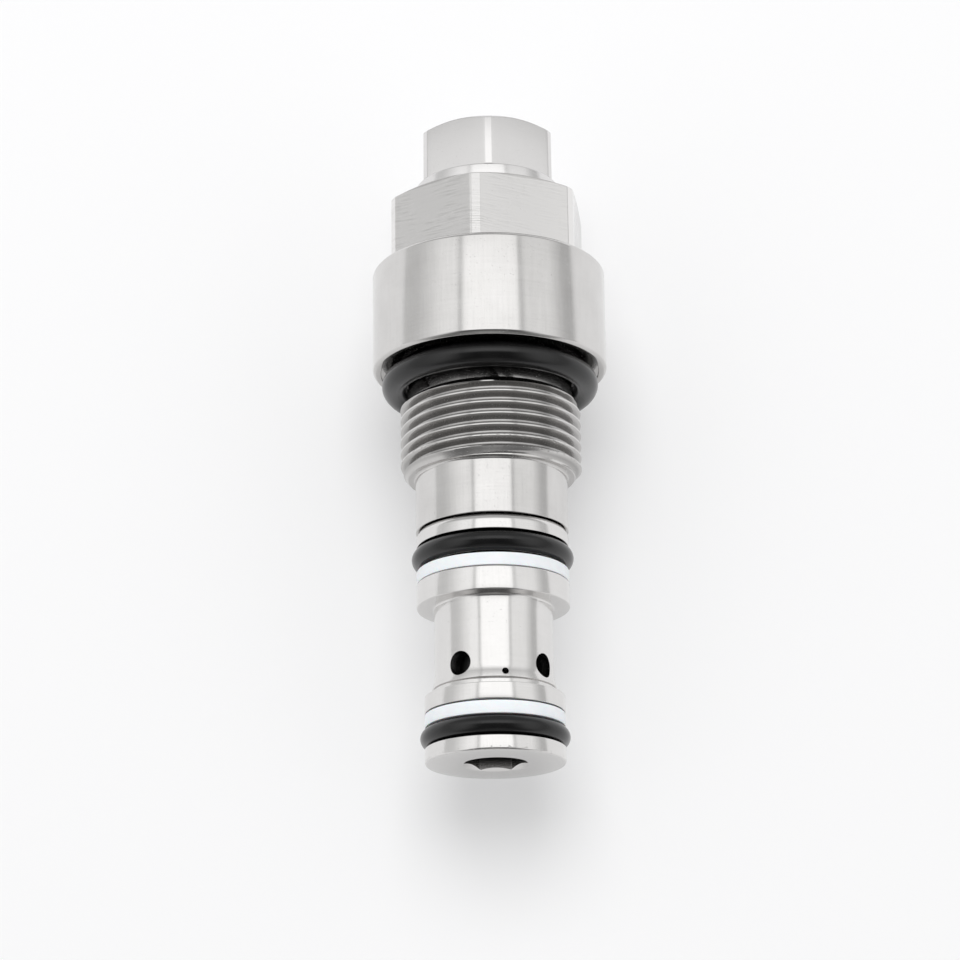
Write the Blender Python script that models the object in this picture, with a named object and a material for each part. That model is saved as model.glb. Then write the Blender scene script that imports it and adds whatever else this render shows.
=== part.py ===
"""Screw-in cartridge relief valve: a two-stage, pilot-operated valve for a machined cavity.

The valve is modelled standing on its nose, with its axis on local Z and its nose face at zero, under
one empty that lays it down: in the world the axis lies along Y, the nose points to -Y, and the collar
rests on the ground at the origin. Angles around the axis are counted from straight up, towards +X.
"""

import math

import bmesh
import bpy
from mathutils import Matrix

MM = 0.001

# Clearances
FIT = 0.3 * MM  # between two pieces that touch or slide
SEAL_FIT = 0.2 * MM  # between a seal and its groove

# Facets around a turned piece
OUTER_SIDES = 36
INNER_SIDES = 24
SMALL_SIDES = 12
RING_SIDES = 8

# Sleeve: nose land, lower groove, lower land, foot, neck, upper land, upper groove, rib, spigot
NOSE_D = 25.2 * MM
NOSE_EDGE = 0.5 * MM
NOSE_LAND = 2.7 * MM
LOWER_GROOVE_D = 19.4 * MM
LOWER_GROOVE = 6.4 * MM
LOWER_LAND = 3.0 * MM
FOOT_D = 22.8 * MM
FOOT = 3.2 * MM
NECK_D = 21.4 * MM
NECK = 13.2 * MM
LAND_D = 27.7 * MM
UPPER_LAND = 4.3 * MM
UPPER_GROOVE_D = 21.8 * MM
UPPER_GROOVE = 6.9 * MM
RIB = 2.7 * MM
RIB_EDGE = 0.8 * MM
SPIGOT_WALL = 3.2 * MM
SPIGOT = 13.3 * MM
SPIGOT_SEAL_AT = 6.0 * MM
NOSE_SOCKET_AF = 10.0 * MM
NOSE_SOCKET = 7.5 * MM
SEAT_D = 9.0 * MM
SEAT_THROAT = 2.0 * MM
PORT_HOLE_D = 4.4 * MM
PORT_HOLE_ABOVE_FOOT = 1.1 * MM
PORT_HOLE_ANGLES = (-35.0, 55.0, 145.0, 235.0)
DRAIN_HOLE_D = 1.2 * MM
DRAIN_HOLE_BELOW_NECK = 0.9 * MM
DRAIN_HOLE_ANGLE = 10.0

# Main stage
POPPET_D = 15.0 * MM
POPPET_LENGTH = 38.0 * MM
POPPET_POCKET_D = 11.6 * MM
POPPET_POCKET = 18.0 * MM
POPPET_PASSAGE_D = 3.0 * MM
ORIFICE_PLUG_D = 4.8 * MM
ORIFICE_PLUG = 5.0 * MM
ORIFICE_D = 1.0 * MM
ORIFICE_SLOT = 0.9 * MM
MAIN_SPRING_WIRE = 1.6 * MM
MAIN_SPRING_TURNS = 7.5

# Housing: stem, thread, relief, collar, hexagon
STEM_D = 27.8 * MM
STEM = 10.3 * MM
THREAD_D = 33.2 * MM
THREAD_PITCH = 25.4 / 12 * MM
THREAD = 14.7 * MM
RELIEF_D = 30.4 * MM
RELIEF = 5.9 * MM
COLLAR_D = 43.3 * MM
COLLAR = 19.6 * MM
COLLAR_UPPER_EDGE = 0.5 * MM
COLLAR_LOWER_EDGE = 0.85 * MM
COLLAR_SEAT_D = 40.4 * MM
COLLAR_RECESS = 0.3 * MM
HEX_AF = 34.0 * MM
HEX = 13.7 * MM
HEX_TURNED_D = 38.3 * MM
HEX_FACE_D = 33.0 * MM
HEX_SLOPE = math.tan(math.radians(20))
HEX_ANGLE = -6.9

# Pilot stage
PILOT_SEAT = 10.0 * MM
PILOT_SEAT_RECESS_D = 12.4 * MM
PILOT_SEAT_RECESS = 4.0 * MM
PILOT_SEAT_SEAL_AT = 5.5 * MM
PILOT_BORE_D = 2.4 * MM
PILOT_CONE_D = 4.6 * MM
PILOT_SHANK = 2.2 * MM
PILOT_FLANGE_D = 10.6 * MM
PILOT_FLANGE = 1.5 * MM
PILOT_PIN_D = 6.6 * MM
PILOT_PIN = 4.5 * MM
CHAMBER_D = 17.4 * MM
PILOT_SPRING_WIRE = 1.8 * MM
PILOT_SPRING_TURNS = 5.5
PILOT_SPRING_LENGTH = 15.4 * MM

# Adjuster
SHIM_D = 12.4 * MM
SHIM = 1.0 * MM
PLUNGER = 10.4 * MM
PLUNGER_PIN = 3.5 * MM
PLUNGER_GROOVE_D = 12.6 * MM
PLUNGER_GROOVE_AT = 3.6 * MM
PLUNGER_BACKUP = 1.3 * MM
SCREW_D = 15.8 * MM
SCREW_OUT = 1.2 * MM
SCREW_EDGE = 0.9 * MM
SCREW_SOCKET_AF = 8.0 * MM
SCREW_SOCKET = 8.0 * MM
WASHER_D = 27.2 * MM
WASHER = 3.0 * MM
WASHER_EDGE = 0.3 * MM
WASHER_RECESS = 2.4 * MM
NUT_AF = 24.0 * MM
NUT = 10.4 * MM
NUT_TURNED_D = 27.0 * MM
NUT_FACE_D = 22.8 * MM
NUT_FOOT = 0.2 * MM
NUT_SLOPE = math.tan(math.radians(30))
NUT_ANGLE = 1.4

# Seals: the thickness of each O-ring's section, and the thickness of each backup ring
COLLAR_SEAL = 4.6 * MM
UPPER_SEAL = 3.6 * MM
UPPER_BACKUP = 2.5 * MM
LOWER_SEAL = 3.5 * MM
LOWER_BACKUP = 2.2 * MM
STATIC_SEAL = 1.6 * MM
WASHER_SEAL = 1.9 * MM

# Stations along the axis, from the nose face upwards
LOWER_GROOVE_Z = NOSE_LAND
LOWER_LAND_Z = LOWER_GROOVE_Z + LOWER_GROOVE
FOOT_Z = LOWER_LAND_Z + LOWER_LAND
NECK_Z = FOOT_Z + FOOT
UPPER_LAND_Z = NECK_Z + NECK
UPPER_GROOVE_Z = UPPER_LAND_Z + UPPER_LAND
RIB_Z = UPPER_GROOVE_Z + UPPER_GROOVE
SPIGOT_Z = RIB_Z + RIB
STEM_Z = SPIGOT_Z + FIT
THREAD_Z = STEM_Z + STEM
RELIEF_Z = THREAD_Z + THREAD
COLLAR_Z = RELIEF_Z + RELIEF
HEX_Z = COLLAR_Z + COLLAR
HEX_TOP = HEX_Z + HEX
SPIGOT_TOP = SPIGOT_Z + SPIGOT
PILOT_SEAT_Z = SPIGOT_TOP + FIT
PILOT_SEAT_TOP = PILOT_SEAT_Z + PILOT_SEAT
CHAMBER_Z = PILOT_SEAT_TOP + FIT
WASHER_Z = HEX_TOP + FIT
NUT_Z = WASHER_Z + WASHER + FIT
NUT_TOP = NUT_Z + NUT
SCREW_TOP = NUT_TOP + SCREW_OUT

# Inside sizes that follow from what slides or sits in them
SLEEVE_BORE_D = POPPET_D + 2 * FIT
SPIGOT_D = SLEEVE_BORE_D + 2 * SPIGOT_WALL
HOUSING_BORE_D = SPIGOT_D + 2 * FIT
SCREW_BORE_D = SCREW_D + 2 * FIT
PLUNGER_D = CHAMBER_D - 2 * FIT
SEAT_Z = NOSE_SOCKET + SEAT_THROAT
CONE_SHIFT = FIT * math.sqrt(2)  # moves a 45-degree cone off its seat by FIT
PORT_HOLE_Z = NECK_Z + PORT_HOLE_ABOVE_FOOT
DRAIN_HOLE_Z = NECK_Z - DRAIN_HOLE_BELOW_NECK

# Colours and finishes of the materials
FINISHES = {
    "machined_steel": ((0.62, 0.61, 0.60), 1.0, 0.28),
    "inner_steel": ((0.50, 0.50, 0.50), 1.0, 0.32),
    "spring_steel": ((0.32, 0.32, 0.33), 1.0, 0.35),
    "brass": ((0.72, 0.55, 0.28), 1.0, 0.35),
    "black_rubber": ((0.02, 0.02, 0.02), 0.0, 0.45),
    "white_backup": ((0.86, 0.88, 0.90), 0.0, 0.4),
}


def clear_scene():
    """Start from an empty scene."""
    for obj in list(bpy.data.objects):
        bpy.data.objects.remove(obj, do_unlink=True)


def finish(node, finish_name):
    """A material of the node's own, in one of the finishes."""
    colour, metallic, roughness = FINISHES[finish_name]
    material = bpy.data.materials.new(f"{node}_{finish_name}")
    material.use_nodes = True
    shader = material.node_tree.nodes["Principled BSDF"]
    shader.inputs["Base Color"].default_value = (*colour, 1.0)
    shader.inputs["Metallic"].default_value = metallic
    shader.inputs["Roughness"].default_value = roughness
    return material


def place(obj, parent):
    """Put an object in the scene under its parent empty."""
    bpy.context.scene.collection.objects.link(obj)
    obj.parent = parent
    return obj


def solid(node, mesh, finish_name, parent):
    """Link a closed mesh as the sub-part called node."""
    mesh.materials.append(finish(node, finish_name))
    mesh.shade_smooth()
    mesh.set_sharp_from_angle(angle=math.radians(30))
    return place(bpy.data.objects.new(node, mesh), parent)


def mesh_from(name, bm):
    """Close a bmesh off as a mesh, with its doubles merged and its faces pointing out."""
    bmesh.ops.remove_doubles(bm, verts=bm.verts, dist=0.001 * MM)
    bmesh.ops.recalc_face_normals(bm, faces=bm.faces)
    mesh = bpy.data.meshes.new(name)
    bm.to_mesh(mesh)
    bm.free()
    return mesh


def on_axis(radius, angle, z):
    """A point at a radius and an angle, in radians from straight up towards +X."""
    return (radius * math.sin(angle), -radius * math.cos(angle), z)


def add_ring(bm, radius, z, sides):
    """The vertices of one ring, or the single vertex of a pole."""
    if radius < 1e-9:
        return [bm.verts.new((0, 0, z))]
    return [bm.verts.new(on_axis(radius, math.tau * i / sides, z)) for i in range(sides)]


def join_rings(bm, lower, upper):
    """Faces between two rings of the same count, or between a ring and a pole."""
    count = max(len(lower), len(upper))
    for i in range(count):
        after = (i + 1) % count
        corners = [lower[i % len(lower)], lower[after % len(lower)]]
        corners += [upper[after % len(upper)], upper[i % len(upper)]]
        distinct = list(dict.fromkeys(corners))
        if len(distinct) > 2:
            bm.faces.new(distinct)


def turn(bm, profile, sides, closed):
    """Turn (radius, z) points about the axis. A closed profile joins its last point to its first."""
    rings = [add_ring(bm, radius, z, sides) for radius, z in profile]
    for lower, upper in zip(rings, rings[1:]):
        join_rings(bm, lower, upper)
    if closed:
        join_rings(bm, rings[-1], rings[0])


def turned_mesh(name, profile, sides=OUTER_SIDES, closed=True):
    bm = bmesh.new()
    turn(bm, profile, sides, closed)
    return mesh_from(name, bm)


def add_thread(bm, z0, z1, root, crest, pitch, sides):
    """A right-hand external thread between two rings of the root's radius.

    Each row of vertices climbs one pitch a turn, so a column's last row meets the row one pitch up
    in the first column. Cones at 45 degrees run the crests down to the root at both ends.
    """
    section = ((0.0, root), (0.375, crest), (0.625, crest))
    per_pitch = len(section)
    rows = per_pitch * (math.ceil((z1 - z0) / pitch) + 2)
    columns = []
    for column in range(sides):
        around = column / sides
        verts = []
        for row in range(rows + 1):
            share, radius = section[row % per_pitch]
            z = z0 + (row // per_pitch - 1 + share + around) * pitch
            z = min(max(z, z0), z1)
            radius = min(radius, root + (z - z0), root + (z1 - z))
            verts.append(bm.verts.new(on_axis(radius, math.tau * around, z)))
        columns.append(verts)
    for column in range(sides - 1):
        for row in range(rows):
            near, far = columns[column], columns[column + 1]
            bm.faces.new((near[row], far[row], far[row + 1], near[row + 1]))
    for row in range(rows - per_pitch):
        near, far = columns[-1], columns[0]
        shifted = row + per_pitch
        bm.faces.new((near[row], far[shifted], far[shifted + 1], near[row + 1]))


def ring_profile(middle_radius, z, thickness):
    """The round section of an O-ring."""
    steps = [math.tau * (i + 0.5) / RING_SIDES for i in range(RING_SIDES)]
    across = thickness / 2 / math.cos(math.pi / RING_SIDES)
    return [(middle_radius + across * math.cos(a), z + across * math.sin(a)) for a in steps]


def o_ring(node, inner_d, z, thickness, parent, sides=OUTER_SIDES):
    """An O-ring that sits on a groove floor of inner_d, with its middle at z."""
    middle = inner_d / 2 + SEAL_FIT + thickness / 2
    mesh = turned_mesh(node, ring_profile(middle, z, thickness), sides)
    return solid(node, mesh, "black_rubber", parent)


def flat_ring(node, finish_name, inner_d, outer_d, z0, z1, parent, sides=OUTER_SIDES):
    """A ring of rectangular section."""
    profile = [(inner_d / 2, z0), (outer_d / 2, z0), (outer_d / 2, z1), (inner_d / 2, z1)]
    return solid(node, turned_mesh(node, profile, sides), finish_name, parent)


def cutter(name, mesh, parent):
    """A guide that only cuts: shown as wire and left out of the model."""
    obj = place(bpy.data.objects.new(name, mesh), parent)
    obj.hide_render = True
    obj.display_type = "WIRE"
    return obj


def cut(obj, tool):
    modifier = obj.modifiers.new(tool.name, "BOOLEAN")
    modifier.operation = "DIFFERENCE"
    modifier.solver = "EXACT"
    modifier.object = tool


def hexagon(across_flats, first_corner):
    """Corner radius and corner angles of a hexagon, in radians."""
    return across_flats / math.sqrt(3), [math.radians(first_corner + 60 * i) for i in range(6)]


def hex_prism(name, across_flats, first_corner, z0, z1, parent):
    """A cutter for a hexagon socket."""
    radius, angles = hexagon(across_flats, first_corner)
    bm = bmesh.new()
    rings = [[bm.verts.new(on_axis(radius, a, z)) for a in angles] for z in (z0, z1)]
    join_rings(bm, *rings)
    for ring in rings:
        bm.faces.new(ring)
    return cutter(name, mesh_from(name, bm), parent)


def flats_cutter(name, across_flats, first_corner, reach, z0, z1, parent):
    """A hexagonal frame that cuts six wrench flats from a round bar of up to reach in radius."""
    inner, angles = hexagon(across_flats, first_corner)
    outer = 2 * reach
    bm = bmesh.new()
    rings = [
        [bm.verts.new(on_axis(radius, a, z)) for a in angles]
        for radius, z in ((inner, z0), (outer, z0), (outer, z1), (inner, z1))
    ]
    for i, ring in enumerate(rings):
        join_rings(bm, ring, rings[(i + 1) % len(rings)])
    return cutter(name, mesh_from(name, bm), parent)


def drill(name, diameter, z, angle, length, parent):
    """A cutter for a radial hole from the axis outwards, at an angle in degrees."""
    bm = bmesh.new()
    turn(bm, [(0, 0), (diameter / 2, 0), (diameter / 2, length), (0, length)], SMALL_SIDES, False)
    mesh = mesh_from(name, bm)
    outwards = Matrix.Rotation(math.radians(angle), 4, "Z") @ Matrix.Rotation(math.pi / 2, 4, "X")
    mesh.transform(Matrix.Translation((0, 0, z)) @ outwards)
    return cutter(name, mesh, parent)


def spring(node, mean_d, wire, turns, z0, z1, parent):
    """A compression spring with one closed coil at each end, between two planes."""
    closed_pitch = wire + FIT
    low, high = z0 + wire / 2, z1 - wire / 2
    open_pitch = (high - low - 2 * closed_pitch) / (turns - 2)
    steps = 14
    curve = bpy.data.curves.new(node, "CURVE")
    curve.dimensions = "3D"
    curve.bevel_depth = wire / 2
    curve.bevel_resolution = 1
    curve.use_fill_caps = True
    line = curve.splines.new("POLY")
    line.points.add(int(turns * steps))
    for i, point in enumerate(line.points):
        turned = i / steps
        middle = min(max(turned - 1, 0), turns - 2)
        z = low + (turned - middle) * closed_pitch + middle * open_pitch
        point.co = (*on_axis(mean_d / 2, math.tau * turned, z), 1)
    curve.materials.append(finish(node, "spring_steel"))
    return place(bpy.data.objects.new(node, curve), parent)


def empty(name, parent=None):
    """A parent for a group of pieces that moves as one."""
    return place(bpy.data.objects.new(name, None), parent)


def lay_down():
    """The empty that every piece stands on: it lays the axis along Y, with the collar on the ground."""
    axis = empty("valve_axis")
    axis.rotation_euler = (-math.pi / 2, 0, 0)
    axis.location = (0, -SCREW_TOP / 2, COLLAR_D / 2)
    return axis


def build_sleeve(axis):
    """The sleeve carries both outer seals, the main seat, and the holes of the side port."""
    seat_top = SEAT_Z + (SLEEVE_BORE_D - SEAT_D) / 2
    seal_z = SPIGOT_Z + SPIGOT_SEAL_AT
    seal_half = (STATIC_SEAL + 2 * SEAL_FIT) / 2
    seal_floor = static_seal_floor()
    outside = [
        (NOSE_D / 2 - NOSE_EDGE, 0),
        (NOSE_D / 2, NOSE_EDGE),
        (NOSE_D / 2, LOWER_GROOVE_Z),
        (LOWER_GROOVE_D / 2, LOWER_GROOVE_Z),
        (LOWER_GROOVE_D / 2, LOWER_LAND_Z),
        (NOSE_D / 2, LOWER_LAND_Z),
        (NOSE_D / 2, FOOT_Z),
        (FOOT_D / 2, FOOT_Z),
        (NECK_D / 2, NECK_Z),
        (NECK_D / 2, UPPER_LAND_Z),
        (LAND_D / 2, UPPER_LAND_Z),
        (LAND_D / 2, UPPER_GROOVE_Z),
        (UPPER_GROOVE_D / 2, UPPER_GROOVE_Z),
        (UPPER_GROOVE_D / 2, RIB_Z),
        (LAND_D / 2, RIB_Z),
        (LAND_D / 2, SPIGOT_Z - RIB_EDGE),
        (LAND_D / 2 - RIB_EDGE / 2, SPIGOT_Z),
        (SPIGOT_D / 2, SPIGOT_Z),
        (SPIGOT_D / 2, seal_z - seal_half),
        (seal_floor, seal_z - seal_half),
        (seal_floor, seal_z + seal_half),
        (SPIGOT_D / 2, seal_z + seal_half),
        (SPIGOT_D / 2, SPIGOT_TOP),
    ]
    inside = [
        (SLEEVE_BORE_D / 2, SPIGOT_TOP),
        (SLEEVE_BORE_D / 2, seat_top),
        (SEAT_D / 2, SEAT_Z),
        (SEAT_D / 2, 0),
    ]
    sleeve = solid("sleeve", turned_mesh("sleeve", outside + inside), "machined_steel", axis)
    cut(sleeve, hex_prism("nose_socket", NOSE_SOCKET_AF, 30, -FIT, NOSE_SOCKET, axis))
    for i, angle in enumerate(PORT_HOLE_ANGLES):
        cut(sleeve, drill(f"port_hole_{i + 1}", PORT_HOLE_D, PORT_HOLE_Z, angle, NOSE_D, axis))
    cut(sleeve, drill("drain_hole", DRAIN_HOLE_D, DRAIN_HOLE_Z, DRAIN_HOLE_ANGLE, NOSE_D, axis))
    o_ring("sleeve_o_ring", 2 * seal_floor, seal_z, STATIC_SEAL, axis, INNER_SIDES)


def static_seal_floor():
    """Radius of the groove floor that keeps a static O-ring clear of the housing bore."""
    return HOUSING_BORE_D / 2 - STATIC_SEAL - 2 * SEAL_FIT


def build_outer_seals(axis):
    """The O-rings and backup rings that seal the valve in its cavity."""
    o_ring("lower_o_ring", LOWER_GROOVE_D, LOWER_GROOVE_Z + SEAL_FIT + LOWER_SEAL / 2, LOWER_SEAL, axis)
    backup_top = LOWER_LAND_Z - SEAL_FIT
    inner = LOWER_GROOVE_D + 2 * SEAL_FIT
    flat_ring("lower_backup_ring", "white_backup", inner, NOSE_D, backup_top - LOWER_BACKUP, backup_top, axis)
    backup_foot = UPPER_GROOVE_Z + SEAL_FIT
    inner = UPPER_GROOVE_D + 2 * SEAL_FIT
    flat_ring("upper_backup_ring", "white_backup", inner, LAND_D, backup_foot, backup_foot + UPPER_BACKUP, axis)
    o_ring("upper_o_ring", UPPER_GROOVE_D, RIB_Z - SEAL_FIT - UPPER_SEAL / 2, UPPER_SEAL, axis)
    o_ring("collar_o_ring", RELIEF_D, COLLAR_Z - SEAL_FIT - COLLAR_SEAL / 2, COLLAR_SEAL, axis)


def build_housing(axis):
    """The housing screws into the cavity: stem, thread, seal relief, collar and hexagon in one piece."""
    shoulder_z = plunger_top() + FIT
    chamfer = (HEX_TURNED_D - HEX_FACE_D) / 2 * HEX_SLOPE
    body = [
        (RELIEF_D / 2, RELIEF_Z),
        (RELIEF_D / 2, COLLAR_Z + COLLAR_RECESS),
        (COLLAR_SEAT_D / 2, COLLAR_Z + COLLAR_RECESS),
        (COLLAR_SEAT_D / 2, COLLAR_Z),
        (COLLAR_D / 2 - COLLAR_LOWER_EDGE, COLLAR_Z),
        (COLLAR_D / 2, COLLAR_Z + COLLAR_LOWER_EDGE),
        (COLLAR_D / 2, HEX_Z - COLLAR_UPPER_EDGE),
        (COLLAR_D / 2 - COLLAR_UPPER_EDGE, HEX_Z),
        (HEX_TURNED_D / 2, HEX_Z),
        (HEX_TURNED_D / 2, HEX_TOP - chamfer),
        (HEX_FACE_D / 2, HEX_TOP),
        (SCREW_BORE_D / 2, HEX_TOP),
        (SCREW_BORE_D / 2, shoulder_z),
        (CHAMBER_D / 2, shoulder_z),
        (CHAMBER_D / 2, CHAMBER_Z),
        (HOUSING_BORE_D / 2, CHAMBER_Z),
        (HOUSING_BORE_D / 2, STEM_Z),
        (STEM_D / 2, STEM_Z),
        (STEM_D / 2, THREAD_Z),
        (RELIEF_D / 2, THREAD_Z),
    ]
    bm = bmesh.new()
    turn(bm, body, OUTER_SIDES, False)
    add_thread(bm, THREAD_Z, RELIEF_Z, RELIEF_D / 2, THREAD_D / 2, THREAD_PITCH, OUTER_SIDES)
    housing = solid("housing", mesh_from("housing", bm), "machined_steel", axis)
    flats = flats_cutter("housing_flats", HEX_AF, HEX_ANGLE, HEX_TURNED_D / 2, HEX_Z, HEX_TOP + HEX, axis)
    cut(housing, flats)


def build_main_stage(axis):
    """The main poppet with its orifice plug, and the spring that holds it on the sleeve's seat."""
    moving = empty("main_poppet_slide", axis)
    tip_r = SEAT_D / 2 - CONE_SHIFT
    tip_z = SEAT_Z
    cone_top = tip_z + POPPET_D / 2 - tip_r
    top = tip_z + POPPET_LENGTH
    pocket_floor = top - POPPET_POCKET
    plug_r = ORIFICE_PLUG_D / 2 + FIT
    plug_floor = tip_z + 2 * FIT + ORIFICE_PLUG
    profile = [
        (tip_r, tip_z),
        (POPPET_D / 2, cone_top),
        (POPPET_D / 2, top),
        (POPPET_POCKET_D / 2, top),
        (POPPET_POCKET_D / 2, pocket_floor),
        (POPPET_PASSAGE_D / 2, pocket_floor),
        (POPPET_PASSAGE_D / 2, plug_floor),
        (plug_r, plug_floor),
        (plug_r, tip_z),
    ]
    mesh = turned_mesh("main_poppet", profile, INNER_SIDES)
    solid("main_poppet", mesh, "inner_steel", moving)
    plug_z = plug_floor - FIT - ORIFICE_PLUG
    plug = flat_ring(
        "orifice_plug", "brass", ORIFICE_D, ORIFICE_PLUG_D, plug_z, plug_z + ORIFICE_PLUG, moving, SMALL_SIDES
    )
    cut(plug, slot_cutter("orifice_slot", ORIFICE_PLUG_D, ORIFICE_SLOT, plug_z, moving))
    spring_top = PILOT_SEAT_Z + PILOT_SEAT_RECESS - FIT
    mean = POPPET_POCKET_D - 2 * FIT - MAIN_SPRING_WIRE
    spring("main_spring", mean, MAIN_SPRING_WIRE, MAIN_SPRING_TURNS, pocket_floor + FIT, spring_top, axis)


def slot_cutter(name, length, width, z, parent):
    """A cutter for a screwdriver slot across a face at z, as deep as it is wide."""
    bm = bmesh.new()
    bmesh.ops.create_cube(bm, size=1)
    bmesh.ops.scale(bm, vec=(2 * length, width, 2 * width), verts=bm.verts)
    bmesh.ops.translate(bm, vec=(0, 0, z), verts=bm.verts)
    return cutter(name, mesh_from(name, bm), parent)


def pilot_spring_z():
    """The foot of the pilot spring, on the pilot poppet's flange."""
    return pilot_flange_z() + PILOT_FLANGE + FIT


def pilot_flange_z():
    return PILOT_SEAT_TOP + CONE_SHIFT + PILOT_SHANK


def plunger_z():
    """The foot of the plunger's body, above the spring and the shim."""
    return pilot_spring_z() + PILOT_SPRING_LENGTH + FIT + SHIM + FIT


def plunger_top():
    return plunger_z() + PLUNGER


def build_pilot_stage(axis):
    """The pilot seat with its O-ring, the pilot poppet, and the spring that sets the pressure."""
    groove_half = (STATIC_SEAL + 2 * SEAL_FIT) / 2
    groove_z = PILOT_SEAT_Z + PILOT_SEAT_SEAL_AT
    seal_floor = static_seal_floor()
    cone_z = PILOT_SEAT_TOP - (PILOT_CONE_D - PILOT_BORE_D) / 2
    profile = [
        (PILOT_SEAT_RECESS_D / 2, PILOT_SEAT_Z),
        (SPIGOT_D / 2, PILOT_SEAT_Z),
        (SPIGOT_D / 2, groove_z - groove_half),
        (seal_floor, groove_z - groove_half),
        (seal_floor, groove_z + groove_half),
        (SPIGOT_D / 2, groove_z + groove_half),
        (SPIGOT_D / 2, PILOT_SEAT_TOP),
        (PILOT_CONE_D / 2, PILOT_SEAT_TOP),
        (PILOT_BORE_D / 2, cone_z),
        (PILOT_BORE_D / 2, PILOT_SEAT_Z + PILOT_SEAT_RECESS),
        (PILOT_SEAT_RECESS_D / 2, PILOT_SEAT_Z + PILOT_SEAT_RECESS),
    ]
    solid("pilot_seat", turned_mesh("pilot_seat", profile, INNER_SIDES), "inner_steel", axis)
    o_ring("pilot_seat_o_ring", 2 * seal_floor, groove_z, STATIC_SEAL, axis, INNER_SIDES)

    moving = empty("pilot_poppet_slide", axis)
    tip_r = PILOT_BORE_D / 4
    shank_r = PILOT_CONE_D / 2
    shank_z = PILOT_SEAT_TOP + CONE_SHIFT
    flange_z = pilot_flange_z()
    pin_z = flange_z + PILOT_FLANGE
    poppet = [
        (0, shank_z - shank_r + tip_r),
        (tip_r, shank_z - shank_r + tip_r),
        (shank_r, shank_z),
        (shank_r, flange_z),
        (PILOT_FLANGE_D / 2, flange_z),
        (PILOT_FLANGE_D / 2, pin_z),
        (PILOT_PIN_D / 2, pin_z),
        (PILOT_PIN_D / 2, pin_z + PILOT_PIN),
        (0, pin_z + PILOT_PIN),
    ]
    mesh = turned_mesh("pilot_poppet", poppet, INNER_SIDES, closed=False)
    solid("pilot_poppet", mesh, "inner_steel", moving)
    mean = PILOT_PIN_D + 3 * FIT + PILOT_SPRING_WIRE
    foot = pilot_spring_z()
    top = foot + PILOT_SPRING_LENGTH
    spring("pilot_spring", mean, PILOT_SPRING_WIRE, PILOT_SPRING_TURNS, foot, top, axis)


def build_adjuster(axis):
    """The shim, the sealed plunger and the screw that press on the pilot spring."""
    travelling = empty("adjuster_travel", axis)
    shim_z = plunger_z() - FIT - SHIM
    shim_bore = PILOT_PIN_D + 2 * FIT
    flat_ring("spring_shim", "inner_steel", shim_bore, SHIM_D, shim_z, shim_z + SHIM, travelling, INNER_SIDES)

    foot = plunger_z()
    groove = foot + PLUNGER_GROOVE_AT
    seal = (PLUNGER_D - PLUNGER_GROOVE_D) / 2 - SEAL_FIT
    groove_top = groove + seal + PLUNGER_BACKUP + 3 * SEAL_FIT
    plunger = [
        (0, foot - PLUNGER_PIN),
        (PILOT_PIN_D / 2, foot - PLUNGER_PIN),
        (PILOT_PIN_D / 2, foot),
        (PLUNGER_D / 2, foot),
        (PLUNGER_D / 2, groove),
        (PLUNGER_GROOVE_D / 2, groove),
        (PLUNGER_GROOVE_D / 2, groove_top),
        (PLUNGER_D / 2, groove_top),
        (PLUNGER_D / 2, plunger_top()),
        (0, plunger_top()),
    ]
    mesh = turned_mesh("spring_plunger", plunger, INNER_SIDES, closed=False)
    solid("spring_plunger", mesh, "inner_steel", travelling)
    o_ring("plunger_o_ring", PLUNGER_GROOVE_D, groove + SEAL_FIT + seal / 2, seal, travelling, INNER_SIDES)
    backup_z = groove_top - SEAL_FIT - PLUNGER_BACKUP
    inner = PLUNGER_GROOVE_D + 2 * SEAL_FIT
    flat_ring(
        "plunger_backup_ring",
        "white_backup",
        inner,
        PLUNGER_D,
        backup_z,
        backup_z + PLUNGER_BACKUP,
        travelling,
        INNER_SIDES,
    )

    turning = empty("adjuster_turn", travelling)
    screw_z = plunger_top() + FIT
    screw = [
        (0, screw_z),
        (SCREW_D / 2 - SCREW_EDGE, screw_z),
        (SCREW_D / 2, screw_z + SCREW_EDGE),
        (SCREW_D / 2, SCREW_TOP - SCREW_EDGE),
        (SCREW_D / 2 - SCREW_EDGE, SCREW_TOP),
        (0, SCREW_TOP),
    ]
    mesh = turned_mesh("adjusting_screw", screw, INNER_SIDES, closed=False)
    screw = solid("adjusting_screw", mesh, "inner_steel", turning)
    socket_z = SCREW_TOP - SCREW_SOCKET
    cut(screw, hex_prism("screw_socket", SCREW_SOCKET_AF, 0, socket_z, SCREW_TOP + FIT, turning))


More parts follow.
